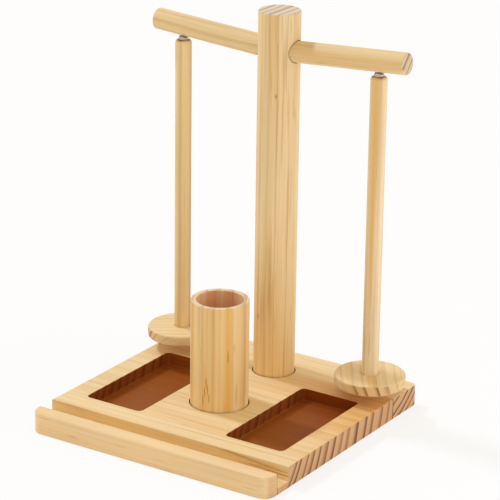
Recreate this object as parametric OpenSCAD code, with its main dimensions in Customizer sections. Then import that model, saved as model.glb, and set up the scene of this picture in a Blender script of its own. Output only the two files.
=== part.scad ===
// Yarn holder: a pine board with a round post and two arms, from which two spindles hang on magnets.
// A needle cup stands in a socket, two trays are cut in the board, and a slot runs behind the front lip.
// Origin: middle of the board's underside. +Z is up, -Y is the front, +X is the right-hand side.

/* [Board] */
// Width of the board, left to right
board_w = 250; // [236:1:290]
// Depth of the board, front to back
board_d = 250; // [244:1:290]
// Thickness of the board
board_t = 20; // [18:0.5:26]
// Plan radius of the board's front corners
corner_r = 9; // [4:0.5:13]
// Plan radius of the board's back corners
back_corner_r = 6; // [3:0.5:13]
// Chamfer that breaks the board's edges
edge_break = 0.8; // [0.4:0.1:1.4]
// Depth of the rear stave, measured from the back edge
rear_stave_d = 44; // [30:1:54]

/* [Lip and slot] */
// Depth of the front lip, a strip glued to the rebated board
lip_d = 15; // [10:0.5:20]
// Width of the slot behind the lip
slot_w = 17; // [10:0.5:20]
// Depth of the slot below the top face
slot_depth = 13.5; // [8:0.5:15]

/* [Trays] */
// Width of each tray
tray_w = 59.5; // [40:0.5:64]
// Length of each tray, front to back
tray_l = 128; // [80:1:140]
// Depth of each tray
tray_depth = 12; // [6:0.5:15]
// Plan radius of the tray corners
tray_r = 4.5; // [3:0.5:12]
// Wall between a tray and the board's side
tray_side = 21; // [14:0.5:25]
// Distance from the slot to the front of each tray
tray_front = 22.5; // [14:0.5:30]

/* [Post] */
// Diameter of the post
post_d = 38; // [32:0.5:44]
// Height of the post above the board
post_h = 340; // [300:1:400]
// Distance of the post's axis from the back edge
post_back = 47; // [36:1:56]
// Depth of the post's socket in the board
post_socket = 12; // [8:0.5:14]
// Chamfer round the post's top
post_break = 0.8; // [0.3:0.1:2]

/* [Arms] */
// Diameter of each arm
arm_d = 19.5; // [17:0.5:24]
// Distance from the post's axis to the tip of each arm
arm_reach = 130; // [116:1:150]
// Depth of the arms' meeting point below the post's top
arm_drop = 36; // [20:1:60]
// Angle at which each arm rises towards its tip
arm_rise = 3.75; // [0:0.25:7]
// Depth of each arm's socket in the post
arm_socket = 7; // [4:0.5:9]
// Chamfer round the tip of each arm
arm_break = 1.2; // [0.4:0.1:2]

/* [Spindles] */
// Distance of each spindle's axis from the post's axis
spindle_x = 102; // [80:1:112]
// Diameter of each rod
rod_d = 15; // [13:0.5:18]
// Rounding of each rod's upper end
rod_round = 2.5; // [1:0.25:2.75]
// Gap between a rod and the arm above it
rod_gap = 3.7; // [3:0.1:8]
// Diameter of each yarn disc
disc_d = 64; // [50:1:80]
// Thickness of each yarn disc
disc_t = 10; // [9:0.5:16]
// Rounding of each disc's edges
disc_round = 1.6; // [0.5:0.1:3]
// Gap between a disc and the board
disc_gap = 11; // [7:0.5:30]
// Depth of the rod's socket in each disc
disc_socket = 6; // [3:0.5:6.5]

/* [Needle cup] */
// Outer diameter of the cup
cup_d = 52; // [44:0.5:58]
// Height of the cup above the board
cup_h = 98; // [60:1:120]
// Wall of the cup
cup_wall = 5; // [3:0.25:8]
// Thickness of the cup's floor
cup_floor = 10; // [5:0.5:20]
// Depth of the cup's socket in the board
cup_socket = 10; // [5:0.5:13]
// Distance of the cup's axis from the slot
cup_front = 81; // [60:1:100]
// Chamfer round the cup's rim and foot
cup_break = 0.8; // [0.3:0.1:1.4]

/* [Magnets and pivots] */
// Diameter of each disc magnet
magnet_d = 12; // [11:0.5:14]
// Thickness of each disc magnet
magnet_t = 4; // [2:0.5:6]
// Depth of a magnet's face inside its arm
magnet_sink = 1.2; // [0.8:0.1:2]
// Diameter of a pivot's domed head
pivot_head_d = 9; // [7:0.5:9.5]
// Height of the dome on a pivot's head
pivot_dome = 2; // [1:0.25:2.5]
// Diameter of a pivot's shank
pivot_shank_d = 4; // [3:0.25:5]
// Length of a pivot's shank
pivot_shank_l = 20; // [10:1:40]
// Gap between a pivot's dome and its magnet
pivot_gap = 0.3; // [0.2:0.05:0.6]

/* [Fasteners] */
// Diameter of the stud that holds each arm
stud_d = 6; // [4:0.5:8]
// Length of a stud inside its arm
stud_in_arm = 14; // [8:1:25]
// Length of a stud inside the post
stud_in_post = 8; // [5:0.5:9]
// Diameter of the screw under each disc
disc_screw_d = 4; // [3:0.25:5]
// Length of the screw under each disc
disc_screw_l = 26; // [16:1:40]
// Head diameter of the screw under each disc
disc_screw_head = 8; // [6.5:0.25:9]
// Diameter of the screw under the post
post_screw_d = 5; // [4:0.25:6]
// Length of the screw under the post
post_screw_l = 50; // [35:1:70]
// Head diameter of the screw under the post
post_screw_head = 10; // [8.5:0.25:12]
// Depth of a screw head below the face around it
screw_sink = 0.5; // [0.2:0.1:1]

/* [Fits] */
// Radial gap round the post and the cup in their sockets
socket_gap = 1; // [0.2:0.05:1.2]
// Radial gap of a turning fit
run_gap = 0.05; // [0.03:0.01:0.08]
// Gap in a glued or screwed fit
glue_gap = 0.05; // [0.02:0.01:0.1]

/* [Hidden] */
$fn = 96;
// Extra length that lets a cut pass its face
cut = 5;

// Board stations from front to back
front_y = -board_d / 2;
lip_y = front_y + lip_d;
slot_y = lip_y + slot_w;
stave_y = board_d / 2 - rear_stave_d;
tray_x = board_w / 2 - tray_side - tray_w / 2;
tray_y = slot_y + tray_front + tray_l / 2;
post_y = board_d / 2 - post_back;
cup_y = slot_y + cup_front;
top_z = board_t;

// Arms, measured along their own axes from the meeting point
arm_z = top_z + post_h - arm_drop;
arm_start = post_d / 2 - arm_socket;
arm_end = arm_reach / cos(arm_rise);

// Heights along a spindle, from the arm down
arm_under_z = arm_z + spindle_x * tan(arm_rise) - arm_d / 2 / cos(arm_rise);
magnet_z = arm_under_z + magnet_sink;
pivot_top_z = magnet_z - pivot_gap;
rod_top_z = arm_under_z - rod_gap;
head_z = rod_top_z + run_gap;
disc_z = top_z + disc_gap;
rod_bottom_z = disc_z + disc_t - disc_socket;

pine = [0.90, 0.76, 0.53];
pine_edge = [0.84, 0.67, 0.45];
steel = [0.72, 0.72, 0.74];
nickel = [0.82, 0.81, 0.79];

// Shared shapes

// Rectangle with round corners, about its middle; front and back corners may differ
module round_plan(w, d, front_r, back_r) {
    translate([-w / 2, -d / 2 + front_r]) square([w, d - front_r - back_r]);
    for (y = [-1, 1]) {
        r = y < 0 ? front_r : back_r;
        translate([0, y * d / 4]) square([w - 2 * r, d / 2], center = true);
        for (x = [-1, 1]) translate([x * (w / 2 - r), y * (d / 2 - r)]) circle(r);
    }
}

// Round bar standing on its end, with a chamfer at the top
module bar(d, l, top_break) {
    cylinder(d = d, h = l - top_break);
    translate([0, 0, l - top_break]) cylinder(d1 = d, d2 = d - 2 * top_break, h = top_break);
}

// Countersunk screw standing on its head; grow widens it into its own hole
module screw(head_d, d, l, grow = 0) {
    head_l = (head_d - d) / 2;
    tip_l = d;
    cylinder(d1 = head_d + 2 * grow, d2 = d + 2 * grow, h = head_l);
    cylinder(d = d + 2 * grow, h = l - tip_l + grow);
    translate([0, 0, l - tip_l + grow]) cylinder(d1 = d + 2 * grow, d2 = d / 4, h = tip_l);
}

// Hole for a countersunk screw, open below its head
module screw_hole(head_d, d, l) {
    screw(head_d, d, l, glue_gap);
    translate([0, 0, -cut]) cylinder(d = head_d + 2 * glue_gap, h = cut);
}

// Places a right-hand piece on its side: 1 is right, -1 is left
module on_side(side) {
    mirror([side < 0 ? 1 : 0, 0, 0]) children();
}

// Frame with +Z along the right arm, from the meeting point
module along_arm() {
    translate([0, post_y, arm_z]) rotate([0, 90 - arm_rise, 0]) children();
}

// Frame at a right-hand spindle's axis
module at_spindle(z) {
    translate([spindle_x, post_y, z]) children();
}

// The board, cut in three

// Side outline with the slot, drawn as depth and height
module side_outline() {
    e = edge_break;
    back_y = board_d / 2;
    slot_z = top_z - slot_depth;
    polygon([
        [front_y + e, 0], [back_y - e, 0], [back_y, e], [back_y, top_z - e], [back_y - e, top_z],
        [slot_y + e, top_z], [slot_y, top_z - e], [slot_y, slot_z], [lip_y, slot_z],
        [lip_y, top_z - e], [lip_y - e, top_z], [front_y + e, top_z], [front_y, top_z - e], [front_y, e]
    ]);
}

// Front outline, drawn as width and height
module front_outline() {
    e = edge_break;
    x = board_w / 2;
    polygon([
        [-x + e, 0], [x - e, 0], [x, e], [x, top_z - e],
        [x - e, top_z], [-x + e, top_z], [-x, top_z - e], [-x, e]
    ]);
}

module board_blank() {
    intersection() {
        linear_extrude(top_z) round_plan(board_w, board_d, corner_r, back_corner_r);
        translate([-board_w / 2, 0, 0]) rotate([90, 0, 90]) linear_extrude(board_w) side_outline();
        translate([0, board_d / 2, 0]) rotate([90, 0, 0]) linear_extrude(board_d) front_outline();
    }
}

module board_cuts() {
    for (side = [-1, 1])
        translate([side * tray_x, tray_y, top_z - tray_depth])
            linear_extrude(tray_depth + cut) round_plan(tray_w, tray_l, tray_r, tray_r);
    translate([0, cup_y, top_z - cup_socket]) cylinder(d = cup_d + 2 * socket_gap, h = cup_socket + cut);
    translate([0, post_y, top_z - post_socket]) cylinder(d = post_d + 2 * socket_gap, h = post_socket + cut);
    translate([0, post_y, screw_sink]) screw_hole(post_screw_head, post_screw_d, post_screw_l);
}

// The finished board between two stations
module board_slice(from_y, to_y) {
    difference() {
        intersection() {
            board_blank();
            translate([-board_w / 2, from_y, 0]) cube([board_w, to_y - from_y, board_t]);
        }
        board_cuts();
    }
}

module front_lip() {
    color(pine) board_slice(front_y, lip_y);
}

module base_board() {
    color(pine) board_slice(lip_y, stave_y);
}

module rear_stave() {
    color(pine_edge) board_slice(stave_y, board_d / 2);
}

// Post, cup and arms

module post() {
    foot_z = top_z - post_socket;
    color(pine) difference() {
        translate([0, post_y, foot_z]) bar(post_d, post_h + post_socket, post_break);
        for (side = [-1, 1]) on_side(side) along_arm() {
            translate([0, 0, arm_start - glue_gap]) cylinder(d = arm_d + 2 * glue_gap, h = post_d);
            translate([0, 0, arm_start - stud_in_post - glue_gap])
                cylinder(d = stud_d + 2 * glue_gap, h = post_d / 2);
        }
        translate([0, post_y, screw_sink]) screw_hole(post_screw_head, post_screw_d, post_screw_l);
    }
}

module post_screw() {
    color(steel) translate([0, post_y, screw_sink]) screw(post_screw_head, post_screw_d, post_screw_l);
}

module needle_cup() {
    r = cup_d / 2;
    bore_r = r - cup_wall;
    l = cup_h + cup_socket;
    e = cup_break;
    color(pine) translate([0, cup_y, top_z - cup_socket]) rotate_extrude()
        polygon([
            [0, 0], [r - e, 0], [r, e], [r, l - e], [r - e, l],
            [bore_r + e, l], [bore_r, l - e], [bore_r, cup_floor], [0, cup_floor]
        ]);
}

module arm(side) {
    color(pine) difference() {
        on_side(side) along_arm() translate([0, 0, arm_start]) bar(arm_d, arm_end - arm_start, arm_break);
        on_side(side) along_arm() translate([0, 0, arm_start - cut])
            cylinder(d = stud_d + 2 * glue_gap, h = cut + stud_in_arm + glue_gap);
        on_side(side) at_spindle(arm_under_z - cut)
            cylinder(d = magnet_d + 2 * glue_gap, h = cut + magnet_sink + magnet_t + glue_gap);
    }
}

module arm_stud(side) {
    color(steel) on_side(side) along_arm() translate([0, 0, arm_start - stud_in_post])
        cylinder(d = stud_d, h = stud_in_post + stud_in_arm);
}

module magnet(side) {
    color(nickel) on_side(side) at_spindle(magnet_z) cylinder(d = magnet_d, h = magnet_t);
}

// Spindles

// Screw with a domed head: the head rolls on the magnet, the shank is in the rod
module pivot(side) {
    head_r = pivot_head_d / 2;
    head_h = pivot_top_z - head_z;
    dome_r = (pow(head_r, 2) + pow(pivot_dome, 2)) / (2 * pivot_dome);
    color(steel) on_side(side) at_spindle(head_z) {
        intersection() {
            cylinder(r = head_r, h = head_h);
            translate([0, 0, head_h - dome_r]) sphere(dome_r);
        }
        translate([0, 0, -pivot_shank_l]) cylinder(d = pivot_shank_d, h = pivot_shank_l + pivot_dome / 2);
    }
}

module rod(side) {
    r = rod_d / 2;
    l = rod_top_z - rod_bottom_z;
    color(pine) on_side(side) difference() {
        at_spindle(rod_bottom_z) rotate_extrude() {
            square([r - rod_round, l]);
            square([r, l - rod_round]);
            translate([r - rod_round, l - rod_round]) circle(rod_round);
        }
        at_spindle(rod_top_z - pivot_shank_l)
            cylinder(d = pivot_shank_d + 2 * run_gap, h = pivot_shank_l + cut);
        at_spindle(disc_z + screw_sink) screw_hole(disc_screw_head, disc_screw_d, disc_screw_l);
    }
}

module disc(side) {
    r = disc_d / 2;
    color(pine_edge) on_side(side) difference() {
        at_spindle(disc_z) rotate_extrude() {
            square([r - disc_round, disc_t]);
            translate([0, disc_round]) square([r, disc_t - 2 * disc_round]);
            for (z = [disc_round, disc_t - disc_round]) translate([r - disc_round, z]) circle(disc_round);
        }
        at_spindle(rod_bottom_z) cylinder(d = rod_d + 2 * glue_gap, h = disc_socket + cut);
        at_spindle(disc_z + screw_sink) screw_hole(disc_screw_head, disc_screw_d, disc_screw_l);
    }
}

module disc_screw(side) {
    color(steel) on_side(side) at_spindle(disc_z + screw_sink)
        screw(disc_screw_head, disc_screw_d, disc_screw_l);
}

front_lip();
base_board();
rear_stave();
post();
post_screw();
needle_cup();
arm(-1);  // left_arm
arm(1);  // right_arm
arm_stud(-1);  // left_arm_stud
arm_stud(1);  // right_arm_stud
magnet(-1);  // left_magnet
magnet(1);  // right_magnet
pivot(-1);  // left_pivot
pivot(1);  // right_pivot
rod(-1);  // left_rod
rod(1);  // right_rod
disc(-1);  // left_disc
disc(1);  // right_disc
disc_screw(-1);  // left_disc_screw
disc_screw(1);  // right_disc_screw
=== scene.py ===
import math
from collections import namedtuple
from functools import partial
import bmesh
import bpy
from mathutils import Matrix, Vector


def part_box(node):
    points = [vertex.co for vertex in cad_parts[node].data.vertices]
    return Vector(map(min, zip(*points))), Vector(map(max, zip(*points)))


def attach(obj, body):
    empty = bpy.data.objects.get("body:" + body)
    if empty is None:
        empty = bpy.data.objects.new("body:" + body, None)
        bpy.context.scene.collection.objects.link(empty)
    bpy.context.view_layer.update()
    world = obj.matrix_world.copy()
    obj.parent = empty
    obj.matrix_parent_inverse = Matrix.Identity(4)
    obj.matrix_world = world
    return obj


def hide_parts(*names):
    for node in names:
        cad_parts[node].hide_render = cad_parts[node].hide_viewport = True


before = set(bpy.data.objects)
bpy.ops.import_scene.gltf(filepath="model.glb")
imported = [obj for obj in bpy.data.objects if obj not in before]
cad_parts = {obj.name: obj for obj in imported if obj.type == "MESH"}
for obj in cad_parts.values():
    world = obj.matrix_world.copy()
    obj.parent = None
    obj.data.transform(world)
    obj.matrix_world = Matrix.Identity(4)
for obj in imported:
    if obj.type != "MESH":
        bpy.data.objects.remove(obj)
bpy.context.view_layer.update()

mm = 0.001
tiny = 0.001 * mm  # points nearer than this become one
scene = bpy.context.scene
sides = {"left": -1, "right": 1}
facets = {"wide": 128, "dowel": 96, "small": 64, "hole": 48}  # faces round a turned form
creaseAngle = 32  # degrees; sharper edges stay crisp


# Colours and nodes

def paint(code):  # sRGB hex code to a linear colour
    parts = [int(code[i:i + 2], 16) / 255 for i in (0, 2, 4)]
    return [p / 12.92 if p <= 0.04045 else ((p + 0.055) / 1.055) ** 2.4 for p in parts] + [1.0]


def feed(socket, value):  # a socket is linked, a hex code is a colour, anything else is set
    if isinstance(value, bpy.types.NodeSocket):
        socket.id_data.links.new(value, socket)
    else:
        socket.default_value = paint(value) if isinstance(value, str) else value


def addNode(tree, kind, values=None, **settings):
    node = tree.nodes.new(kind)
    for key, value in settings.items():
        setattr(node, key, value)
    for key, value in (values or {}).items():
        feed(node.inputs[key], value)
    return node


def outOf(*values, **settings):  # first output of a new node
    return addNode(*values, **settings).outputs[0]


def calc(tree, operation, *values, kind="ShaderNodeMath", output=0):
    return addNode(tree, kind, dict(enumerate(values)), operation=operation).outputs[output]


def vectorCalc(tree, operation, *values, output="Vector"):
    return calc(tree, operation, *values, kind="ShaderNodeVectorMath", output=output)


def sums(tree, *operations):  # short calls for one tree
    return [partial(calc, tree, operation) for operation in operations]


def remap(tree, value, fromLow, fromHigh, toLow=0.0, toHigh=1.0):  # smooth step between two levels
    values = {"Value": value, "From Min": fromLow, "From Max": fromHigh, "To Min": toLow, "To Max": toHigh}
    return outOf(tree, "ShaderNodeMapRange", values, interpolation_type="SMOOTHSTEP")


def blend(tree, factor, first, second, mode="MIX"):
    values = {0: factor, 6: first, 7: second}  # factor and colours among the node's many sockets
    return addNode(tree, "ShaderNodeMix", values, data_type="RGBA", blend_type=mode).outputs[2]


def noise(tree, position, detail, roughness=0.5):
    values = {"Vector": position, "Scale": 1.0, "Detail": detail, "Roughness": roughness}
    return outOf(tree, "ShaderNodeTexNoise", values)


def spaced(key):  # ringWidth becomes Ring Width
    return "".join(" " + letter if letter.isupper() else letter for letter in key).title()


def socketValues(look, keys):  # what a look says, under the names of a group's sockets
    return {spaced(key): look[key] for key in keys}


socketKinds = {float: "Float", int: "Int", str: "Color", tuple: "Vector", type(None): "Material"}
origin = (0.0, 0.0, 0.0)
surfaceParts = {"Color": "Color", "Roughness": "Float", "Height": "Float"}


def newGroup(name, inputs, outputs, kind="ShaderNodeTree"):
    tree = bpy.data.node_groups.new(name, kind)
    for label, value in inputs.items():
        socketKind = "NodeSocket" + socketKinds[type(value)]
        socket = tree.interface.new_socket(label, in_out="INPUT", socket_type=socketKind)
        if value is not None:
            feed(socket, value)
    for label, part in outputs.items():
        tree.interface.new_socket(label, in_out="OUTPUT", socket_type="NodeSocket" + part)
    return tree, tree.nodes.new("NodeGroupInput").outputs, tree.nodes.new("NodeGroupOutput").inputs


# Pine: growth rings round a pith line, with fibres, streaks and resin flecks along it

pineNoise = {  # waves per metre across and along the grain, and detail
    "wander": (20, 4, 2.0),
    "fibre": (1000, 14, 3.0),
    "streak": (120, 2.2, 2.0),
    "line": (420, 9, 2.0),
    "patch": (60, 7, 1.0),
    "fleck": (430, 26, 1.0),
    "cloud": (16, 9, 1.0),
}
pineLimits = {  # levels of the noise between which a mark sets in
    "streak": (0.42, 0.75), "line": (0.52, 0.7), "patch": (0.38, 0.6), "fleck": (0.68, 0.76),
}
pineRing = {  # how one ring darkens from its early to its late wood, and how faint a ring may be
    "rise": (0.3, 0.93), "edge": 0.95, "longPower": 2.6, "faintest": 0.6, "fadeIn": 9 * mm,
    "uneven": 0.6,  # how often the rings' width changes, per ring
}
pineShade = {"fibre": 0.2, "cloud": 0.16}
pineGloss = {"plain": 0.52, "fibre": 0.22, "late": -0.1, "end": 0.12}
pineRelief = {"fibre": 0.8, "fleck": -0.5, "late": 0.35, "strength": 0.3, "depth": 0.25 * mm}
pineLook = {  # what the pine group takes; each piece changes what differs
    "ringWidth": 8 * mm, "ringWave": 2 * mm, "ringDepth": 0.3, "endDepth": 0.9,
    "ringSpread": 1.0,  # below 1 the rings get wider outwards
    "ringReach": 100 * mm,  # where they are as wide as ringWidth says
    "ringStart": 0.0,  # nearer to the pith than this, the rings fade
    "endPower": 1.25,  # higher makes finer rings on the end faces
    "streaks": 0.4, "lines": 0.2, "flecks": 0.3, "seed": 0.0,
    "early": "F6DDAC", "late": "B88038", "streak": "E4AE60", "endWood": "DDAF82", "endLate": "54280E",
}
pineBase = pineLook | {
    "grain": (1, 0, 0), "pith": (0, 0, 0), "specular": 0.22,
    "endLimits": (0.6, 0.9),  # how squarely a face cuts the grain where it turns into an end face
    "knots": [], "knotHalo": "C98F4E", "knotHeart": "6B3F1C",
}


def buildPineGrain():
    inputs = {"Position": origin, "End Face": 0.0}  # Z runs along the grain, X 0 and Y 0 is the pith
    inputs |= socketValues(pineLook, pineLook)
    tree, given, result = newGroup("pineGrain", inputs, surfaceParts)
    add, sub, mul, div, power = sums(tree, "ADD", "SUBTRACT", "MULTIPLY", "DIVIDE", "POWER")
    seed, endFace = given["Seed"], given["End Face"]
    longFace = sub(1.0, endFace)
    seedShift = outOf(tree, "ShaderNodeCombineXYZ", {"X": seed, "Y": seed, "Z": seed})
    shifted = vectorCalc(tree, "ADD", given["Position"], seedShift)

    def grainNoise(name):
        across, along, detail = pineNoise[name]
        return noise(tree, vectorCalc(tree, "MULTIPLY", shifted, (across, across, along)), detail)

    def marks(name):
        return remap(tree, grainNoise(name), *pineLimits[name])

    def mixture(shares, total):  # sum of the parts that have a share
        for name, part in parts.items():
            if name in shares:
                total = add(mul(part, shares[name]), total)
        return total

    # rings: distance from the pith, made uneven, cut into a soft rise and a hard edge
    flat = vectorCalc(tree, "MULTIPLY", given["Position"], (1.0, 1.0, 0.0))
    radius = vectorCalc(tree, "LENGTH", flat, output="Value")
    wander = mul(sub(grainNoise("wander"), 0.5), 2.0)
    grown = add(radius, mul(wander, given["Ring Wave"]))
    reach, spread, start = given["Ring Reach"], given["Ring Spread"], given["Ring Start"]
    perReach = div(reach, mul(given["Ring Width"], spread))
    turns = mul(power(div(grown, reach), spread), perReach)
    values = {"W": add(turns, seed), "Scale": pineRing["uneven"], "Detail": 1.0}
    turns = add(turns, outOf(tree, "ShaderNodeTexNoise", values, noise_dimensions="1D"))
    phase = calc(tree, "FRACT", turns)
    ring = {"W": add(calc(tree, "FLOOR", turns), seed)}
    weight = outOf(tree, "ShaderNodeTexWhiteNoise", ring, noise_dimensions="1D")
    fineness = remap(tree, endFace, 0.0, 1.0, pineRing["longPower"], given["End Power"])
    rise = power(remap(tree, phase, *pineRing["rise"]), fineness)
    late = mul(rise, remap(tree, phase, pineRing["edge"], 1.0, 1.0, 0.0))
    late = mul(late, remap(tree, weight, 0.0, 1.0, pineRing["faintest"], 1.0))
    late = mul(late, remap(tree, grown, sub(start, pineRing["fadeIn"]), start))

    # long faces show the rings faintly, end faces drink more finish and show them strongly
    depth = add(mul(given["Ring Depth"], longFace), mul(given["End Depth"], endFace))
    line = mul(marks("line"), marks("patch"))  # the lines come in patches
    fleck = mul(mul(marks("fleck"), longFace), given["Flecks"])
    lateColour = blend(tree, endFace, given["Late"], given["End Late"])
    colour = given["Early"]
    for factor, tint in (
        (mul(marks("streak"), given["Streaks"]), given["Streak"]),
        (mul(line, given["Lines"]), given["Late"]),
        (endFace, given["End Wood"]),
        (mul(late, depth), lateColour),
        (fleck, given["Late"]),
    ):
        colour = blend(tree, factor, colour, tint)
    parts = {
        "fibre": sub(grainNoise("fibre"), 0.5), "cloud": sub(grainNoise("cloud"), 0.5),
        "late": late, "end": endFace, "fleck": fleck,
    }
    grey = mixture(pineShade, 1.0)
    shade = outOf(tree, "ShaderNodeCombineColor", {"Red": grey, "Green": grey, "Blue": grey})
    feed(result["Color"], blend(tree, 1.0, colour, shade, "MULTIPLY"))
    feed(result["Roughness"], mixture(pineGloss, pineGloss["plain"]))
    feed(result["Height"], mixture(pineRelief, 0.0))
    return tree


# Small knot: a dark heart in a warm halo, drawn out along the grain

knotShape = {  # limits are in sizes of the knot
    "heart": (0.4, 1.0), "halo": (0.7, 2.8),
    "ragged": 700.0, "detail": 2.0,  # waves per metre of its outline
}


def buildKnotSpot():
    inputs = {"Position": origin, "Centre": origin, "Size": 2 * mm}
    inputs["Squeeze"] = (1.0, 1.0, 1.0)  # below 1 along an axis draws the knot out along it
    tree, given, result = newGroup("knotSpot", inputs, {"Heart": "Float", "Halo": "Float"})
    add, sub, div = sums(tree, "ADD", "SUBTRACT", "DIVIDE")
    offset = vectorCalc(tree, "SUBTRACT", given["Position"], given["Centre"])
    offset = vectorCalc(tree, "MULTIPLY", offset, given["Squeeze"])
    scaled = vectorCalc(tree, "MULTIPLY", offset, [knotShape["ragged"]] * 3)
    reach = div(vectorCalc(tree, "LENGTH", offset, output="Value"), given["Size"])
    reach = add(reach, sub(noise(tree, scaled, knotShape["detail"]), 0.5))
    feed(result["Heart"], remap(tree, reach, *knotShape["heart"], 1.0, 0.0))
    feed(result["Halo"], remap(tree, reach, *knotShape["halo"], 1.0, 0.0))
    return tree


# Fine marks of handling on metal

metals = {
    "zincSteel": {"metal": "B9BAB6", "tarnish": "8C8A80", "polish": 0.26, "spread": 0.2, "scale": 1400.0},
    "brightSteel": {"metal": "B8ACA2", "tarnish": "766A60", "polish": 0.06, "spread": 0.08,
                    "scale": 1800.0},
    "nickelPlate": {"metal": "D2CEC4", "tarnish": "A8A090", "polish": 0.16, "spread": 0.14,
                    "scale": 1100.0},
}
metalGrain = {
    "detail": 4.0, "roughness": 0.6,
    "patch": 0.2, "patchDetail": 2.0, "patchLimits": (0.5, 0.8), "patchDepth": 0.6,  # tarnish
    "strength": 0.15, "depth": 0.05 * mm,
}


def buildMetalMarks():
    zinc = metals["zincSteel"]
    inputs = {"Position": origin} | socketValues(zinc, zinc)
    tree, given, result = newGroup("metalMarks", inputs, surfaceParts)
    values = {0: given["Position"], "Scale": given["Scale"]}
    scaled = outOf(tree, "ShaderNodeVectorMath", values, operation="SCALE")
    grainy = noise(tree, scaled, metalGrain["detail"], metalGrain["roughness"])
    patchPlace = vectorCalc(tree, "MULTIPLY", scaled, [metalGrain["patch"]] * 3)
    patchy = noise(tree, patchPlace, metalGrain["patchDetail"])
    tarnished = remap(tree, patchy, *metalGrain["patchLimits"], 0.0, metalGrain["patchDepth"])
    feed(result["Color"], blend(tree, tarnished, given["Metal"], given["Tarnish"]))
    spread = calc(tree, "MULTIPLY", grainy, given["Spread"])
    feed(result["Roughness"], calc(tree, "ADD", given["Polish"], spread))
    feed(result["Height"], grainy)
    return tree


pineGrain = buildPineGrain()
knotSpot = buildKnotSpot()
metalMarks = buildMetalMarks()


def newMaterial(name):
    material = bpy.data.materials.new(name)
    material.use_nodes = True
    tree = material.node_tree
    return material, tree, tree.nodes["Principled BSDF"]


def wireSurface(tree, shader, colour, surface, relief):
    values = {"Height": surface["Height"], "Strength": relief["strength"], "Distance": relief["depth"]}
    bump = outOf(tree, "ShaderNodeBump", values)
    for key, value in {"Base Color": colour, "Roughness": surface["Roughness"], "Normal": bump}.items():
        feed(shader.inputs[key], value)


# Pine finish of one piece: grain is its direction, pith a point on the line the rings go round
def pineFinish(name, wood):
    material, tree, shader = newMaterial(name)
    coords = addNode(tree, "ShaderNodeTexCoord").outputs
    along = Vector(wood["grain"])
    turn = along.rotation_difference(Vector((0, 0, 1)))
    values = {"Vector": coords["Object"], "Rotation": turn.to_euler()}
    values["Location"] = -(turn @ Vector(wood["pith"]))
    place = outOf(tree, "ShaderNodeMapping", values)
    facing = vectorCalc(tree, "DOT_PRODUCT", coords["Normal"], along.normalized(), output="Value")
    endFace = remap(tree, calc(tree, "ABSOLUTE", facing), *wood["endLimits"])
    values = {"Position": place, "End Face": endFace} | socketValues(wood, pineLook)
    grain = addNode(tree, "ShaderNodeGroup", values, node_tree=pineGrain).outputs
    colour = grain["Color"]
    if "warm" in wood:  # warmer long faces towards one end
        warm = wood["warm"]
        reach = vectorCalc(tree, "DOT_PRODUCT", coords["Object"], warm["along"], output="Value")
        warmth = remap(tree, reach, warm["plain"], warm["full"], 0.0, warm["amount"])
        warmth = calc(tree, "MULTIPLY", warmth, calc(tree, "SUBTRACT", 1.0, endFace))
        colour = blend(tree, warmth, colour, blend(tree, 1.0, colour, warm["tint"], "MULTIPLY"))
    for knot in wood["knots"]:
        values = {"Position": coords["Object"]} | socketValues(knot, ("centre", "squeeze", "size"))
        spot = addNode(tree, "ShaderNodeGroup", values, node_tree=knotSpot).outputs
        for part in ("Halo", "Heart"):
            share = calc(tree, "MULTIPLY", spot[part], knot[part.lower()])
            colour = blend(tree, share, colour, wood["knot" + part])
    feed(shader.inputs["Specular IOR Level"], wood["specular"])
    wireSurface(tree, shader, colour, grain, pineRelief)
    return material


def metalFinish(name, look):
    material, tree, shader = newMaterial(name)
    coords = addNode(tree, "ShaderNodeTexCoord").outputs
    values = {"Position": coords["Object"]} | socketValues(look, look)
    marks = addNode(tree, "ShaderNodeGroup", values, node_tree=metalMarks).outputs
    feed(shader.inputs["Metallic"], 1.0)
    wireSurface(tree, shader, marks["Color"], marks, metalGrain)
    return material


print("materials: pine, knot and metal groups built")


# Meshes

def newPiece(name, mesh):
    piece = bpy.data.objects.new(name, mesh)
    scene.collection.objects.link(piece)
    return piece


def pieceFrom(name, bm):
    mesh = bpy.data.meshes.new(name)
    bm.to_mesh(mesh)
    bm.free()
    return newPiece(name, mesh)


def settle(piece):  # modifiers become plain mesh
    evaluated = piece.evaluated_get(bpy.context.evaluated_depsgraph_get())
    mesh = bpy.data.meshes.new_from_object(evaluated)
    mesh.name = piece.name
    piece.modifiers.clear()
    piece.data = mesh


def placed(piece, matrix):
    piece.data.transform(matrix)
    return piece


def standing(axis, low):  # moves what stands on the origin
    return Matrix.Translation((axis.x, axis.y, low.z))


def near(axis, radius, x, y):
    return math.hypot(x - axis.x, y - axis.y) < radius


def carve(piece, cutters):
    for cutter in cutters:
        cut = piece.modifiers.new("carve", "BOOLEAN")
        cut.operation = "DIFFERENCE"
        cut.solver = "EXACT"
        cut.object = cutter
    settle(piece)
    for cutter in cutters:
        bpy.data.objects.remove(cutter)


# Shading that is smooth on curves and crisp at sharp edges, then the finish and the piece's place
def dress(piece, material, body, node):
    piece.data.shade_smooth()
    piece.data.set_sharp_from_angle(angle=math.radians(creaseAngle))
    piece.modifiers.new("weigh", "WEIGHTED_NORMAL").keep_sharp = True
    settle(piece)
    piece.data.materials.clear()
    piece.data.materials.append(material)
    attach(piece, body)
    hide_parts(node)


def refinishInside(piece, material, isInside):  # another finish on the faces whose middle is inside: painted shade in the trays, sockets and joints, and a redder pine in the cup's bore
    piece.data.materials.append(material)
    for face in piece.data.polygons:
        if isInside(*face.center):
            face.material_index = len(piece.data.materials) - 1


roundPlace = namedtuple("roundPlace", "low high axis radius")


def roundBox(node):  # place of an upright round node
    low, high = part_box(node)
    return roundPlace(low, high, (low + high) / 2, (high.x - low.x) / 2)


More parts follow.
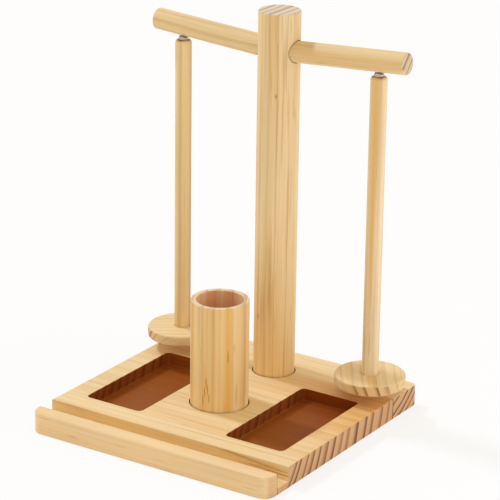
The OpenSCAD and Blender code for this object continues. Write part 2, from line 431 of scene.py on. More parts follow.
def bridge(bm, low, high):  # faces between two loops, either of which may be a single pole
    count = max(len(low), len(high))
    for i in range(count):
        j = (i + 1) % count
        corners = [low[i % len(low)], low[j % len(low)], high[j % len(high)], high[i % len(high)]]
        bm.faces.new(list(dict.fromkeys(corners)))


def arc(centre, radius, start, end, steps=6):  # points of an arc, angles in degrees
    turns = [math.radians(start + (end - start) * i / steps) for i in range(steps + 1)]
    return [(centre[0] + radius * math.cos(t), centre[1] + radius * math.sin(t)) for t in turns]


# Solid of revolution about a vertical line; the profile is radius and height, seen anticlockwise
def lathe(name, profile, axis, count, closed=False):
    bm = bmesh.new()
    turns = [2 * math.pi * i / count for i in range(count)]
    loops = []
    for radius, height in profile:
        circle = turns if radius > tiny else turns[:1]
        points = [(axis[0] + radius * math.cos(t), axis[1] + radius * math.sin(t), height) for t in circle]
        loops.append([bm.verts.new(point) for point in points])
    following = loops[1:] + loops[:1] if closed else loops[1:]
    for low, high in zip(loops, following):
        bridge(bm, low, high)
    return pieceFrom(name, bm)


def bore(radius, bottom, top, axis, count=facets["hole"]):  # cutter for a plain round hole
    return lathe("bore", [(0.0, bottom), (radius, bottom), (radius, top), (0.0, top)], axis, count)


# One level of a plan with round corners, front ones and back ones; inset moves it inwards
def planLoop(bm, low, high, frontRadius, backRadius, inset, z, steps=10):
    points = []
    corners = ((1, 1, backRadius), (-1, 1, backRadius), (-1, -1, frontRadius), (1, -1, frontRadius))
    for k, (right, back, radius) in enumerate(corners):
        hold = max(radius, inset)
        x = high[0] - hold if right > 0 else low[0] + hold
        y = high[1] - hold if back > 0 else low[1] + hold
        points += arc((x, y), max(radius - inset, 0.0), 90 * k, 90 * k + 90, steps)
    return [bm.verts.new((x, y, z)) for x, y in points]


# Block of such plans; levels are pairs of inset and height, from the bottom up
def stackPlans(name, low, high, frontRadius, backRadius, levels):
    bm = bmesh.new()
    loops = [planLoop(bm, low, high, frontRadius, backRadius, inset, z) for inset, z in levels]
    for lower, upper in zip(loops, loops[1:]):
        bridge(bm, lower, upper)
    bm.faces.new(list(reversed(loops[0])))
    bm.faces.new(loops[-1])
    bmesh.ops.remove_doubles(bm, verts=bm.verts[:], dist=tiny)
    return pieceFrom(name, bm)


def prism(name, outline, fromX, toX):  # outline of depth and height, drawn out along X
    bm = bmesh.new()
    start, end = [[bm.verts.new((x, y, z)) for y, z in outline] for x in (fromX, toX)]
    bridge(bm, start, end)
    bm.faces.new(list(reversed(start)))
    bm.faces.new(end)
    bmesh.ops.recalc_face_normals(bm, faces=bm.faces[:])
    return pieceFrom(name, bm)


# Geometry Nodes

def growPiece(name, tree, values):  # runs a tree with what the values say and keeps the plain mesh
    piece = newPiece(name, bpy.data.meshes.new(name))
    grow = piece.modifiers.new("grow", "NODES")
    grow.node_group = tree
    named = socketValues(values, values)
    for item in tree.interface.items_tree:
        if item.in_out == "INPUT" and item.name in named:
            grow[item.identifier] = named[item.name]
    settle(piece)
    return piece


def setPlaces(tree, geometry, **parts):  # X, Y and Z of every point
    place = outOf(tree, "ShaderNodeCombineXYZ", parts)
    return outOf(tree, "GeometryNodeSetPosition", {"Geometry": geometry, "Position": place})


def finishTree(tree, geometry, given, result):
    whole = outOf(tree, "GeometryNodeRealizeInstances", {"Geometry": geometry})
    dressed = outOf(tree, "GeometryNodeSetMaterial", {"Geometry": whole, "Material": given["Finish"]})
    feed(result["Geometry"], dressed)
    return tree


# Round bar along Z with both ends rounded: a grid whose columns go round and whose rows go up
def buildTurnedBar():
    tree, given, result = newGroup("turnedBar", {
        "Radius": 10 * mm, "Length": 100 * mm, "Foot Round": 0.5 * mm, "Head Round": 1 * mm,
        "Around": facets["dowel"], "Round Steps": 6, "Finish": None,
    }, {"Geometry": "Geometry"}, "GeometryNodeTree")
    add, sub, mul, div = sums(tree, "ADD", "SUBTRACT", "MULTIPLY", "DIVIDE")
    sine, cosine, above, below = sums(tree, "SINE", "COSINE", "GREATER_THAN", "LESS_THAN")
    steps, around = given["Round Steps"], given["Around"]
    foot, head = given["Foot Round"], given["Head Round"]
    rows = add(mul(steps, 2.0), 4.0)  # the first and the last one are the poles
    grid = outOf(tree, "GeometryNodeMeshGrid", {"Vertices X": add(around, 1.0), "Vertices Y": rows})
    index = outOf(tree, "GeometryNodeInputIndex")
    column = calc(tree, "FLOOR", div(add(index, 0.5), rows))
    row = sub(index, mul(column, rows))

    def quarter(fromRow):  # a quarter turn that passes while the rows go round one end
        part = div(sub(row, fromRow), steps)
        part = calc(tree, "MINIMUM", calc(tree, "MAXIMUM", part, 0.0), 1.0)
        return mul(part, math.pi / 2)

    footTurn = quarter(1.0)
    headTurn = quarter(add(steps, 2.0))
    footLoss = mul(foot, sub(1.0, sine(footTurn)))
    headLoss = mul(head, sub(1.0, cosine(headTurn)))
    radius = sub(sub(given["Radius"], footLoss), headLoss)
    radius = mul(radius, mul(above(row, 0.5), below(row, sub(rows, 1.5))))
    straight = sub(sub(given["Length"], foot), head)
    height = mul(foot, sub(1.0, cosine(footTurn)))
    height = add(height, mul(straight, above(row, add(steps, 1.5))))
    height = add(height, mul(head, sine(headTurn)))
    angle = mul(div(column, around), 2 * math.pi)
    across, deep = mul(radius, cosine(angle)), mul(radius, sine(angle))
    bar = setPlaces(tree, grid, X=across, Y=deep, Z=height)
    joined = outOf(tree, "GeometryNodeMergeByDistance", {"Geometry": bar, "Distance": tiny})
    return finishTree(tree, joined, given, result)


# Screw along Z, standing on its head: a stepped core, a thread wound round it, a cross cut in the head

screwShape = {
    "coreSides": 40, "turnSteps": 24, "ridgeSides": 4,
    "bladeDepths": (2.0, 1.9),  # in cross depths, half of it in the head; unlike, to share no face
}
screwGap = 0.1 * mm
screwSizes = {  # in mm, of the post's screw, a disc's screw and a stud
    "radius": (2.5, 2, 3),
    "headHeight": (2.5, 2, 1),
    "headRim": (0.08, 0.08, 0.08),
    "tipLength": (5, 4, 1),
    "tipRadius": (0.5, 0.5, 1.8),
    "threadStart": (14, 7, 1.6),
    "threadPitch": (2.4, 1.8, 1.6),
    "threadDepth": (0.6, 0.5, 0.55),
    "crossLength": (5.4, 4.4, 3),
    "crossWidth": (1.1, 0.9, 0.8),
    "crossDepth": (2, 1.6, 1),
}
postScrew, discScrew, studScrew = [
    {key: sizes[k] * mm for key, sizes in screwSizes.items()} for k in range(3)
]


def buildThreadedScrew():
    inputs = {"Length": 26 * mm, "Head Radius": 4 * mm, "Finish": None} | socketValues(discScrew, discScrew)
    tree, given, result = newGroup("threadedScrew", inputs, {"Geometry": "Geometry"}, "GeometryNodeTree")
    sub, mul, div = sums(tree, "SUBTRACT", "MULTIPLY", "DIVIDE")
    headRadius, start = given["Head Radius"], given["Thread Start"]
    coreRadius = sub(given["Radius"], given["Thread Depth"])
    threadEnd = sub(given["Length"], given["Tip Length"])
    index = outOf(tree, "GeometryNodeInputIndex")

    def station(values):  # one value for each point of the core's line
        pick = addNode(tree, "GeometryNodeIndexSwitch", data_type="FLOAT")
        while len(pick.index_switch_items) < len(values):
            pick.index_switch_items.new()
        for k, value in enumerate([index] + values):
            feed(pick.inputs[k], value)
        return pick.outputs[0]

    def sweep(curve, count, radius, **more):  # a round of so many sides, drawn along a curve
        values = {"Resolution": count, "Radius": radius}
        profile = outOf(tree, "GeometryNodeCurvePrimitiveCircle", values)
        values = {"Curve": curve, "Profile Curve": profile, "Fill Caps": True} | more
        return outOf(tree, "GeometryNodeCurveToMesh", values)

    heights = station([0.0, given["Head Rim"], given["Head Height"], threadEnd, given["Length"]])
    radii = station([headRadius, headRadius, coreRadius, coreRadius, given["Tip Radius"]])
    line = setPlaces(tree, outOf(tree, "GeometryNodeMeshLine", {"Count": 5}), Z=heights)
    path = outOf(tree, "GeometryNodeMeshToCurve", {"Mesh": line})
    core = sweep(path, screwShape["coreSides"], 1.0, Scale=radii)

    threadLength = sub(threadEnd, start)
    winding = outOf(tree, "GeometryNodeCurveSpiral", {
        "Resolution": screwShape["turnSteps"], "Rotations": div(threadLength, given["Thread Pitch"]),
        "Start Radius": coreRadius, "End Radius": coreRadius, "Height": threadLength,
    })
    raised = outOf(tree, "ShaderNodeCombineXYZ", {"Z": start})
    lifted = outOf(tree, "GeometryNodeTransform", {"Geometry": winding, "Translation": raised})
    thread = sweep(lifted, screwShape["ridgeSides"], given["Thread Depth"])
    solid = addNode(tree, "GeometryNodeMeshBoolean", operation="UNION", solver="EXACT")
    for part in (core, thread):
        feed(solid.inputs["Mesh 2"], part)

    recessed = addNode(tree, "GeometryNodeMeshBoolean", {"Mesh 1": solid.outputs[0]},
                       operation="DIFFERENCE", solver="EXACT")
    spans = [given["Cross Length"], given["Cross Width"]]
    for (x, y), deep in zip((spans, spans[::-1]), screwShape["bladeDepths"]):
        sizes = {"X": x, "Y": y, "Z": mul(given["Cross Depth"], deep)}
        size = outOf(tree, "ShaderNodeCombineXYZ", sizes)
        blade = outOf(tree, "GeometryNodeMeshCube", {"Size": size})
        feed(recessed.inputs["Mesh 2"], blade)
    return finishTree(tree, recessed.outputs[0], given, result)


turnedBar = buildTurnedBar()
threadedScrew = buildThreadedScrew()


def turnBar(name, wood, sizes, radius, length, matrix):
    finish = pineFinish(name, wood)
    values = sizes | {"radius": radius, "length": length, "finish": finish}
    return placed(growPiece(name, turnedBar, values), matrix), finish


print("geometry nodes: turned bar and threaded screw built")


# Board: base and stave are cut from one blank and machined, the lip is a block of its own

lipLow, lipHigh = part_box("front_lip")
baseLow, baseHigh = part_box("base_board")
staveLow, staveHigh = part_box("rear_stave")
postLow, postHigh, postAxis, postRadius = roundBox("post")
cupLow, cupHigh, cupAxis, cupRadius = roundBox("needle_cup")
boardTop = baseHigh.z

board = {
    "cornerRadius": 11 * mm,
    "backCornerRadius": 6 * mm,
    "edgeRound": 1.2 * mm,
    "lipBackRound": 1 * mm,  # leaves a fine line at the glued joint
    "jointLine": (0.8 * mm, 0.8 * mm),  # width and depth of the line where the stave is glued on
    "slotWidth": 17 * mm,
    "slotDepth": 13.5 * mm,
    "slotRound": 0.8 * mm,
    "trayWidth": 59.5 * mm,
    "trayLength": 128 * mm,
    "trayDepth": 12 * mm,
    "trayCorner": 4.5 * mm,
    "traySide": 21 * mm,  # wall between a tray and the board's side
    "trayFront": 22.5 * mm,  # from the slot to a tray
    "trayFloorRound": 1.5 * mm,
    "rimRound": 0.5 * mm,  # eased rim of the trays
    "socketGap": 1 * mm,
    "overcut": 5 * mm,
    "stray": 0.1,  # how far the middle of a face with painted shade may lie outside, as a share of the gap
    "wood": {
        "lipWood": {"pith": (0, -0.140, -0.160), "ringWave": 4 * mm, "ringDepth": 0.07, "endDepth": 0.06,
                    "streaks": 0.3, "lines": 0.1, "early": "F7DAAA", "endWood": "E6BF90", "seed": 3.1},
        "boardWood": {"pith": (0, -0.160, 0.060), "ringWidth": 9.1 * mm, "ringSpread": 0.49,
                      "ringReach": 94 * mm, "ringStart": 87 * mm, "ringDepth": 0.18, "lines": 0.24,
                      "seed": 7.4, "endLate": "542204",
                      "warm": {"along": (0.75, 0.66, 0), "plain": 30 * mm, "full": 110 * mm,
                               "amount": 0.8, "tint": "F0CE98"}},
        "staveWood": {"pith": (0, 0.050, 0.088), "ringWidth": 7.2 * mm, "ringDepth": 0.16, "endDepth": 1.0,
                      "endPower": 1.5, "endLate": "361604", "lines": 0.24, "seed": 1.7},
    },
    "wallLines": {  # rings that show on the slot's wall: places along the board and heights in mm
        "places": [(63, 18.3), (76, 17.2), (89, 16.1), (102, 14.8), (116, 13.8), (92, 12.6), (106, 11.4),
                   (119, 10.6)],
        "look": {"squeeze": (0.045, 1, 1), "size": 0.45 * mm, "halo": 0.32, "heart": 0.42},
    },
    # the trays' walls and floor get a darker reddish-brown pine: painted shade in the deep recesses
    "trayPaintedShade": {"early": "9C561E", "late": "743E12", "streak": "8C4A18", "endWood": "945020",
                  "endLate": "683610", "specular": 0.1},
    # near-black pine: painted shade inside the sockets, the arm sockets and the joint lines
    "gapShadeWood": {"early": "331C0B", "late": "261407", "streak": "2E180A", "endWood": "311B0B",
                  "endLate": "241306", "specular": 0.03},
}
cutLow = baseLow.z - board["overcut"]
cutHigh = boardTop + board["overcut"]
slotBack = lipHigh.y + board["slotWidth"]
trayFloor = boardTop - board["trayDepth"]
trayFront = slotBack + board["trayFront"]
trayBack = trayFront + board["trayLength"]
trayOuter = baseHigh.x - board["traySide"]
trayInner = trayOuter - board["trayWidth"]
sockets = {"cup": (cupAxis, cupRadius, cupLow.z), "post": (postAxis, postRadius, postLow.z)}


def boardSlice(name, blank, fromY=None, toY=None):
    bm = bmesh.new()
    bm.from_mesh(blank.data)
    for y, direction in ((fromY, -1), (toY, 1)):
        if y is None:
            continue
        bmesh.ops.bisect_plane(bm, geom=bm.verts[:] + bm.edges[:] + bm.faces[:], plane_co=(0, y, 0),
                               plane_no=(0, direction, 0), clear_outer=True)
        bmesh.ops.holes_fill(bm, edges=[edge for edge in bm.edges if edge.is_boundary])
    return pieceFrom(name, bm)


def trayCutter(side):  # the wall turns inwards at the floor and outwards at the rim
    turn, ease, corner = board["trayFloorRound"], board["rimRound"], board["trayCorner"]
    left, right = sorted((side * trayInner, side * trayOuter))
    levels = arc((turn, trayFloor + turn), turn, 270, 180, 4)
    levels += arc((-ease, boardTop - ease), ease, 0, 90, 4) + [(-ease, cutHigh)]
    return stackPlans("trayCutter", (left, trayFront), (right, trayBack), corner, corner, levels)


def socketCutter(axis, radius, floor):
    return bore(radius + board["socketGap"], floor, cutHigh, axis, facets["wide"])


def slotCutter():
    ease, front = board["slotRound"], lipHigh.y - board["overcut"]
    floor = boardTop - board["slotDepth"]
    outline = [(front, floor)] + arc((slotBack - ease, floor + ease), ease, 270, 360)
    outline += arc((slotBack + ease, boardTop - ease), ease, 180, 90)
    outline += [(slotBack + ease, cutHigh), (front, cutHigh)]
    return prism("slotCutter", outline, baseLow.x - board["overcut"], baseHigh.x + board["overcut"])


def screwHole(node, sizes):  # countersunk from below
    low, high, axis, radius = roundBox(node)
    head, shank = radius + screwGap, sizes["radius"] + screwGap
    bottom = low.z - board["overcut"]
    profile = [(0.0, bottom), (head, bottom), (head, low.z), (shank, low.z + head - shank),
               (shank, high.z), (0.0, high.z + screwGap)]
    return lathe("screwHole", profile, axis, facets["hole"])


def jointCutters():  # one at each end of the board
    width, depth = board["jointLine"]
    front, back = staveLow.y - width / 2, staveLow.y + width / 2
    outline = [(front, cutLow), (back, cutLow), (back, cutHigh), (front, cutHigh)]
    inner, outer = baseHigh.x - depth, baseHigh.x + board["overcut"]
    return [prism("jointCutter", outline, *ends) for ends in ((-outer, -inner), (inner, outer))]


def inTray(x, y, z):  # below the eased rim
    slack = board["rimRound"]
    across = trayInner - slack < abs(x) < trayOuter + slack
    along = trayFront - slack < y < trayBack + slack
    return across and along and trayFloor - slack < z < boardTop - slack


# the sockets' walls, which get painted shade
def inSocket(x, y, z):
    slack = board["stray"] * board["socketGap"]
    for axis, radius, floor in sockets.values():
        hole = radius + board["socketGap"] + slack
        if near(axis, hole, x, y) and floor - slack < z < boardTop - slack:
            return True
    return False


def inJoint(x, y, z):  # the glued joints, seen at the board's ends, where the joint lines get painted shade
    width, depth = board["jointLine"]
    turn, stray = board["lipBackRound"], board["stray"]
    atLip = abs(x) > baseHigh.x - turn and lipHigh.y - turn < y < lipHigh.y
    atStave = abs(x) > baseHigh.x - (1 + stray) * depth and abs(y - staveLow.y) < (0.5 + stray) * width
    return atLip or atStave


def buildBoard():
    low = Vector((baseLow.x, lipLow.y, baseLow.z))
    high = Vector((baseHigh.x, staveHigh.y, boardTop))
    corner, ease = board["cornerRadius"], board["edgeRound"]
    levels = arc((ease, low.z + ease), ease, 270, 180, 5)
    levels += arc((ease, high.z - ease), ease, 180, 90, 5)
    blank = stackPlans("blank", low, high, corner, board["backCornerRadius"], levels)
    lip = stackPlans("lipWood", lipLow, lipHigh, corner, board["lipBackRound"], levels)
    base = boardSlice("boardWood", blank, fromY=lipHigh.y, toY=staveLow.y)
    stave = boardSlice("staveWood", blank, fromY=staveLow.y)
    bpy.data.objects.remove(blank)
    bored = [socketCutter(*socket) for socket in sockets.values()]
    bored.append(screwHole("post_screw", postScrew))
    carve(base, [slotCutter(), trayCutter(-1), trayCutter(1)] + bored + jointCutters())
    carve(stave, [socketCutter(*sockets["post"])] + jointCutters())

    woods = {name: pineBase | wood for name, wood in board["wood"].items()}
    lines = board["wallLines"]
    centres = [(x * mm, slotBack, z * mm) for x, z in lines["places"]]
    woods["boardWood"]["knots"] = [lines["look"] | {"centre": centre} for centre in centres]
    shadeInGaps = pineFinish("gapShadeWood", pineBase | board["gapShadeWood"])
    trayShadeFinish = pineFinish("trayPaintedShade", pineBase | board["wood"]["boardWood"] | board["trayPaintedShade"])
    for piece, node in ((lip, "front_lip"), (base, "base_board"), (stave, "rear_stave")):
        dress(piece, pineFinish(piece.name, woods[piece.name]), "stand", node)
    # painted shade on the trays' walls and floor
    refinishInside(base, trayShadeFinish, inTray)
    # painted shade in the sockets and in the joint lines
    for piece in (base, stave):
        refinishInside(piece, shadeInGaps, inSocket)
    for piece in (lip, base, stave):
        refinishInside(piece, shadeInGaps, inJoint)
    return shadeInGaps


paintedGapShade = buildBoard()
print("board: lip, base and stave cut")


# Post, after the sizes of arms and studs, which its sockets need

arms = {
    "rise": 3.75,  # degrees
    "reach": 130 * mm,
    "drop": 36 * mm,  # below the post's top
    "socket": 7 * mm,
    "headRound": 1.6 * mm,
    "footRound": 0.3 * mm,
    "recessGap": 0.1 * mm,
    "wood": {"ringDepth": 0.25, "early": "F3D8A5"},
    "sideWood": {
        "left": {"pith": (0, 0.190, 0.230), "ringWave": 3 * mm, "seed": 5.3, "endWood": "E6CDB2",
                 "endDepth": 0.7},
        "right": {"pith": (0, 0.1755, 0.2214), "ringWidth": 7.5 * mm, "seed": 9.9, "endWood": "E2CBAC",
                  "endDepth": 1.0, "endPower": 2.2, "endLate": "5A2C06"},
    },
}
studs = {
    "inPost": 8 * mm, "inArm": 14 * mm, "endRadius": 2.4 * mm,
    "holeTurn": 1.3,  # degrees, keeps the hole's facets clear of the arm's
}
post = {
    "headRound": 0.9 * mm,
    "footRound": 0.5 * mm,
    "around": facets["wide"],
    "armGap": 0.6 * mm,
    "wood": {
        "early": "F9E2B5", "grain": (0, 0, 1), "pith": (-0.2965, 0.080, 0), "ringWidth": 7.6 * mm,
        "ringWave": 1.6 * mm, "streaks": 0.5, "lines": 0.4, "streak": "E0A850", "late": "BC8030",
        "seed": 2.2, "endPower": 2.2, "endWood": "E8D6C2", "endLate": "8A6244",
        "warm": {"along": (0, 0, 1), "plain": 200 * mm, "full": 20 * mm, "amount": 0.4, "tint": "FFEEC0"},
    },
    "knots": {  # degrees, height and size in mm
        "places": [(-64.2, 286.3, 0.7), (-110.5, 77.0, 0.7), (38.0, 170.0, 1.2)],
        "look": {"squeeze": (1, 1, 0.4), "halo": 0.35, "heart": 0.6},
    },
}
armLow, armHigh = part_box("right_arm")
armRadius = (armHigh.y - armLow.y) / 2
armStart = postRadius - arms["socket"]
armMeet = Vector((postAxis.x, postAxis.y, postHigh.z - arms["drop"]))
studRadius = studScrew["radius"] + screwGap  # of the studs' holes


def armFrame(side):  # +Z runs along the arm, away from the post
    lean = side * math.radians(90 - arms["rise"])
    return Matrix.Translation(armMeet) @ Matrix.Rotation(lean, 4, "Y")


def knotsOn(axis, radius, places, look):  # marks on a turned side
    knots = []
    for angle, height, size in places:
        turn = math.radians(angle)
        centre = (axis.x + radius * math.cos(turn), axis.y + radius * math.sin(turn), height * mm)
        knots.append(look | {"centre": centre, "size": size * mm})
    return knots


def armSocketCutter(side):  # arm and stud holes in one
    wide, far = armRadius + post["armGap"], 2 * postRadius
    depth = armStart - studs["inPost"] - screwGap
    profile = [(0.0, depth), (studRadius, depth), (studRadius, armStart), (wide, armStart), (wide, far),
               (0.0, far)]
    return placed(lathe("armSocketCutter", profile, (0, 0), facets["dowel"]), armFrame(side))


# the arm sockets' walls inside the post, which get painted shade
def inArmSocket(x, y, z):
    inner = postRadius - post["armGap"] / 4
    return near(postAxis, inner, x, y) and abs(z - armMeet.z) < 2 * armRadius


def buildPost():
    wood = pineBase | post["wood"]
    wood["knots"] = knotsOn(postAxis, postRadius, **post["knots"])
    length = postHigh.z - postLow.z
    matrix = standing(postAxis, postLow)
    piece, finish = turnBar("postWood", wood, post, postRadius, length, matrix)
    carve(piece, [armSocketCutter(side) for side in sides.values()])
    carve(piece, [screwHole("post_screw", postScrew)])
    dress(piece, finish, "stand", "post")
    # painted shade inside the arm sockets
    refinishInside(piece, paintedGapShade, inArmSocket)


buildPost()
print("post: turned and bored")


# Arms

def magnetRecess(name):
    low, high, axis, radius = roundBox(name + "_magnet")
    gap = arms["recessGap"]
    return bore(radius + gap, low.z - armRadius, high.z + gap, axis, facets["small"])


def studHole(side):
    hole = bore(studRadius, armStart - board["overcut"], armStart + studs["inArm"] + screwGap, (0, 0))
    return placed(hole, armFrame(side) @ Matrix.Rotation(math.radians(studs["holeTurn"]), 4, "Z"))


def buildArm(name, side):
    rise = math.radians(arms["rise"])
    along = (side * math.cos(rise), 0, math.sin(rise))
    wood = pineBase | arms["wood"] | arms["sideWood"][name] | {"grain": along}
    length = arms["reach"] / math.cos(rise) - armStart
    matrix = armFrame(side) @ Matrix.Translation((0, 0, armStart))
    piece, finish = turnBar(name + "ArmWood", wood, arms, armRadius, length, matrix)
    carve(piece, [magnetRecess(name)])
    carve(piece, [studHole(side)])
    dress(piece, finish, "stand", name + "_arm")


for name, side in sides.items():
    buildArm(name, side)
print("arms: turned and bored")


# Cup

cup = {
    "bore": 21 * mm,
    "floor": 10 * mm,
    "rimRound": 0.9 * mm,
    "footRound": 0.6 * mm,
    "floorRound": 2 * mm,
    "wood": {
        "grain": (0, 0, 1), "pith": (-0.260, -0.150, 0), "ringWidth": 12 * mm, "ringWave": 2.4 * mm,
        "endDepth": 0.35, "streaks": 0.9, "lines": 0.24, "seed": 4.6, "early": "F2D39C", "late": "BC8030",
        "streak": "E0A44C", "endWood": "EFD8B4", "knotHeart": "6E4418", "knotHalo": "EFBC5C",
    },
    "boreWood": {"early": "F7CFA8", "late": "A8602C", "streak": "E4A878", "endWood": "E8BC94"},
    "bands": {  # wide warm streaks
        "places": [(-39.0, 60.0, 1.9)],
        "look": {"squeeze": (1, 1, 0.025), "halo": 0.65, "heart": 0.0},
    },
    "knots": {
        "places": [(-83.1, 47.0, 0.55), (-80.0, 41.0, 0.5), (-86.5, 38.0, 0.5), (-77.0, 33.0, 0.45),
                   (-90.0, 30.0, 0.5), (-39.9, 72.2, 0.6)],
        "look": {"squeeze": (1, 1, 0.07), "halo": 0.35, "heart": 0.6},
    },
}


def inBore(x, y, z):  # below the eased rim
    low, high = cupLow.z + cup["floor"] / 2, cupHigh.z - cup["rimRound"]
    return near(cupAxis, cup["bore"], x, y) and low < z < high


def buildCup():
    rim, foot, fillet = cup["rimRound"], cup["footRound"], cup["floorRound"]
    floor = cupLow.z + cup["floor"]
    profile = [(0.0, cupLow.z)] + arc((cupRadius - foot, cupLow.z + foot), foot, 270, 360)
    profile += arc((cupRadius - rim, cupHigh.z - rim), rim, 0, 90)
    profile += arc((cup["bore"] + rim, cupHigh.z - rim), rim, 90, 180)
    profile += arc((cup["bore"] - fillet, floor + fillet), fillet, 360, 270) + [(0.0, floor)]
    wood = pineBase | cup["wood"]
    boreFinish = pineFinish("cupBore", wood | cup["boreWood"])
    for marks in (cup["bands"], cup["knots"]):
        wood["knots"] = wood["knots"] + knotsOn(cupAxis, cupRadius, **marks)
    piece = lathe("cupWood", profile, cupAxis, facets["wide"])
    dress(piece, pineFinish("cupWood", wood), "cup", "needle_cup")
    refinishInside(piece, boreFinish, inBore)


buildCup()
print("cup: turned")


# Spindles: a rod and a disc each

spindles = {
    "headRound": 3 * mm,
    "roundSteps": 8,
    "footRound": 0.4 * mm,
    "boreRadius": 2.05 * mm,
    "discRound": 1.8 * mm,
    "socketDepth": 6 * mm,
    "socketGap": 0.15 * mm,
    "rodWood": {"grain": (0, 0, 1), "ringWave": 1.2 * mm, "streak": "DFA347", "knotHalo": "EFBC5C"},
    "sideRodWood": {
        "left": {"pith": (-0.22, 0.01, 0), "ringWidth": 7 * mm, "ringDepth": 0.4, "streaks": 0.65,
                 "seed": 6.8},
        "right": {"pith": (-0.05, -0.02, 0), "ringWidth": 7.5 * mm, "ringDepth": 0.35, "streaks": 0.5,
                  "seed": 8.3, "early": "F9E6C2"},
    },
    "bands": {"left": [], "right": [(-82.0, 270.0, 1.3)]},  # wide warm streaks
    "bandLook": {"squeeze": (1, 1, 0.014), "halo": 0.6, "heart": 0.0},
    "discWood": {"ringWave": 1.2 * mm, "endLimits": (0.6, 1.0)},
    "sideDiscWood": {
        "left": {"grain": (0.84, 0.54, 0), "pith": (-0.180, 0.110, 0.090), "ringWidth": 6 * mm,
                 "seed": 0.6, "endWood": "E2B888"},
        "right": {"grain": (0.55, -0.83, 0), "pith": (0.010, 0.020, -0.003), "ringWidth": 9 * mm,
                  "seed": 3.9, "endWood": "E8C08C", "endDepth": 0.85, "endLate": "6A3814", "endPower": 2.4},
    },
}


def buildRod(name):
    low, high, axis, radius = roundBox(name + "_rod")
    pivot = roundBox(name + "_pivot")
    wood = pineBase | spindles["rodWood"] | spindles["sideRodWood"][name]
    wood["knots"] = knotsOn(axis, radius, spindles["bands"][name], spindles["bandLook"])
    matrix = standing(axis, low)
    piece, finish = turnBar(name + "RodWood", wood, spindles, radius, high.z - low.z, matrix)
    carve(piece, [bore(spindles["boreRadius"], pivot.low.z, high.z + board["overcut"], pivot.axis)])
    carve(piece, [screwHole(name + "_disc_screw", discScrew)])
    dress(piece, finish, name + "_spindle", name + "_rod")


def buildDisc(name):
    low, high, axis, radius = roundBox(name + "_disc")
    screw = roundBox(name + "_disc_screw")
    turn, ease = spindles["discRound"], spindles["footRound"]
    socket = roundBox(name + "_rod").radius + spindles["socketGap"]
    floor, headLow = high.z - spindles["socketDepth"], screw.low.z
    head, shank = screw.radius + screwGap, discScrew["radius"] + screwGap
    profile = [(head, low.z)] + arc((radius - turn, low.z + turn), turn, 270, 360)
    profile += arc((radius - turn, high.z - turn), turn, 0, 90)
    profile += arc((socket + ease, high.z - ease), ease, 90, 180, 3)
    profile += [(socket, floor), (shank, floor), (shank, headLow + head - shank), (head, headLow)]
    piece = lathe(name + "DiscWood", profile, axis, facets["wide"], closed=True)
    wood = pineBase | spindles["discWood"] | spindles["sideDiscWood"][name]
    finish = pineFinish(name + "DiscWood", wood)
    dress(piece, finish, name + "_spindle", name + "_disc")


for name in sides:
    buildRod(name)
    buildDisc(name)
print("spindles: rods and discs turned")


# Steel and magnets, which hold the wood together

finishes = {name: metalFinish(name, look) for name, look in metals.items()}
pivots = {
    "shankRadius": 2 * mm, "rim": 1.1 * mm, "edgeRound": 0.35 * mm, "tip": 1.2 * mm,
    "rodGap": 0.05 * mm,  # under the head
}
magnets = {"edgeRound": 0.35 * mm}


def buildPivot(name):  # domed head that rolls on the magnet, with a plain shank in the rod
    low, high, axis, radius = roundBox(name + "_pivot")
    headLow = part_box(name + "_rod")[1].z + pivots["rodGap"]
    ease, shank, tip = pivots["edgeRound"], pivots["shankRadius"], pivots["tip"]
    rim = headLow + pivots["rim"]
    dome = [(radius * r, rim + (high.z - rim) * z) for r, z in arc((0, 0), 1.0, 0, 90, 12)]
    profile = [(0.0, low.z), (shank - tip / 2, low.z), (shank, low.z + tip), (shank, headLow)]
    profile += arc((radius - ease, headLow + ease), ease, 270, 360, 4) + dome[:-1] + [(0.0, high.z)]
    piece = lathe(name + "PivotSteel", profile, axis, facets["small"])
    dress(piece, finishes["brightSteel"], name + "_hanger", name + "_pivot")


def buildMagnet(name):
    low, high, axis, radius = roundBox(name + "_magnet")
    ease = magnets["edgeRound"]
    profile = [(0.0, low.z)] + arc((radius - ease, low.z + ease), ease, 270, 360, 4)
    profile += arc((radius - ease, high.z - ease), ease, 0, 90, 4) + [(0.0, high.z)]
    piece = lathe(name + "MagnetDisc", profile, axis, facets["small"])
    dress(piece, finishes["nickelPlate"], "stand", name + "_magnet")


def buildThreaded(name, node, body, sizes, matrix):
    steel = finishes["zincSteel"]
    piece = placed(growPiece(name, threadedScrew, sizes | {"finish": steel}), matrix)
    dress(piece, steel, body, node)


def buildScrew(name, node, body, sizes):
    low, high, axis, radius = roundBox(node)
    sizes = sizes | {"length": high.z - low.z, "headRadius": radius}
    buildThreaded(name, node, body, sizes, standing(axis, low))


def buildStud(name, side):
    sizes = studScrew | {"length": studs["inPost"] + studs["inArm"], "headRadius": studs["endRadius"]}
    matrix = armFrame(side) @ Matrix.Translation((0, 0, armStart - studs["inPost"]))
    buildThreaded(name + "StudSteel", name + "_arm_stud", "stand", sizes, matrix)


buildScrew("postScrewSteel", "post_screw", "stand", postScrew)
for name, side in sides.items():
    buildPivot(name)
    buildMagnet(name)
    buildScrew(name + "DiscScrewSteel", name + "_disc_screw", name + "_spindle", discScrew)
    buildStud(name, side)
print("steel: screws, studs, pivots and magnets made")


# Floor, light and camera

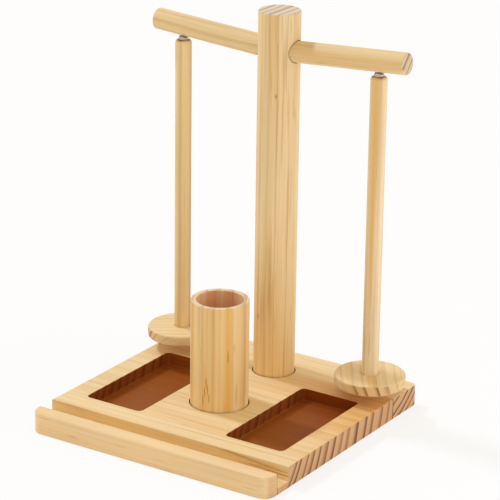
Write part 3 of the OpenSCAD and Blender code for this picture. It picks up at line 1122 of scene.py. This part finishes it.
white = "FFFFFF"
studio = {
    "floorSize": 12.0,
    "floorRoughness": 0.9, "floorSpecular": 0.1,
    "floorGap": 0.05 * mm,  # the floor lies just clear of the board
    "floorLift": 0.8,  # how far the camera sees the floor as plain white
    "ambient": 0.7, "ambientColour": "FFF1D4",
    "aim": (0.0, 0.02, 0.16),
    "lamps": {
        "key": {"kind": "SUN", "strength": 1.46, "colour": "D1E1FF", "azimuth": -93.0, "elevation": 50.0,
                "distance": 2.0, "spread": 5.7},
        "fill": {"kind": "AREA", "strength": 10.5, "colour": "F3EFFF", "azimuth": 98.0, "elevation": 15.0,
                 "distance": 2.4, "size": 1.6},
    },
}
photoView = {
    "azimuth": 32.95, "elevation": 20.06, "roll": 0.77,  # degrees
    "distance": 2.2516, "target": (0.0166, 0.0095, 0.1607), "lens": 185.2, "sensor": 36.0, "clipEnd": 50.0,
}


def lightPathMask(tree):  # rays that see the background as itself: camera, glossy and transmission
    path = addNode(tree, "ShaderNodeLightPath").outputs
    seen = calc(tree, "MAXIMUM", path["Is Camera Ray"], path["Is Glossy Ray"])
    return calc(tree, "MAXIMUM", seen, path["Is Transmission Ray"])


def mixShaders(tree, factor, first, second, output):
    mixed = outOf(tree, "ShaderNodeMixShader", {0: factor, 1: first.outputs[0], 2: second.outputs[0]})
    feed(tree.nodes[output].inputs["Surface"], mixed)


def buildFloor():
    half = studio["floorSize"] / 2
    bm = bmesh.new()
    corners = ((-half, -half), (half, -half), (half, half), (-half, half))
    bm.faces.new([bm.verts.new((x, y, -studio["floorGap"])) for x, y in corners])
    floor = pieceFrom("floor", bm)
    material, tree, shader = newMaterial("floorPaper")
    feed(shader.inputs["Base Color"], white)
    feed(shader.inputs["Roughness"], studio["floorRoughness"])
    feed(shader.inputs["Specular IOR Level"], studio["floorSpecular"])
    glow = addNode(tree, "ShaderNodeEmission", {"Color": white, "Strength": 1.0})
    lift = calc(tree, "MULTIPLY", lightPathMask(tree), studio["floorLift"])
    mixShaders(tree, lift, shader, glow, "Material Output")
    floor.data.materials.append(material)


def buildWorld():
    world = bpy.data.worlds.new("studioWorld")
    world.use_nodes = True
    tree = world.node_tree
    ambient = tree.nodes["Background"]
    feed(ambient.inputs["Color"], studio["ambientColour"])
    feed(ambient.inputs["Strength"], studio["ambient"])
    backdrop = addNode(tree, "ShaderNodeBackground", {"Color": white, "Strength": 1.0})
    mixShaders(tree, lightPathMask(tree), ambient, backdrop, "World Output")
    scene.world = world


def towards(azimuth, elevation):  # direction from the object; azimuth 0 is the front, 90 the right
    a, e = math.radians(azimuth), math.radians(elevation)
    return Vector((math.sin(a) * math.cos(e), -math.cos(a) * math.cos(e), math.sin(e)))


def buildLamp(name, wanted):
    lamp = bpy.data.lights.new(name, wanted["kind"])
    lamp.energy = wanted["strength"]
    lamp.color = paint(wanted["colour"])[:3]
    if wanted["kind"] == "SUN":
        lamp.angle = math.radians(wanted["spread"])
    else:
        lamp.shape = "DISK"
        lamp.size = wanted["size"]
    back = towards(wanted["azimuth"], wanted["elevation"])
    piece = newPiece(name + "Lamp", lamp)
    piece.location = Vector(studio["aim"]) + back * wanted["distance"]
    piece.rotation_euler = back.to_track_quat("Z", "Y").to_euler()


def buildCamera():
    data = bpy.data.cameras.new("photoCamera")
    data.lens = photoView["lens"]
    data.sensor_width = photoView["sensor"]
    data.clip_end = photoView["clipEnd"]
    back = towards(photoView["azimuth"], photoView["elevation"])
    turn = math.radians(photoView["azimuth"])
    level = Vector((math.cos(turn), math.sin(turn), 0))
    rotation = Matrix((level, back.cross(level), back)).transposed()
    rotation = Matrix.Rotation(math.radians(photoView["roll"]), 3, back) @ rotation
    camera = newPiece("photoCamera", data)
    camera.location = Vector(photoView["target"]) + back * photoView["distance"]
    camera.rotation_euler = rotation.to_euler()
    scene.camera = camera


buildFloor()
buildWorld()
for name, wanted in studio["lamps"].items():
    buildLamp(name, wanted)
buildCamera()
scene.view_settings.view_transform = "Standard"
print("studio: floor, world, lamps and camera set")
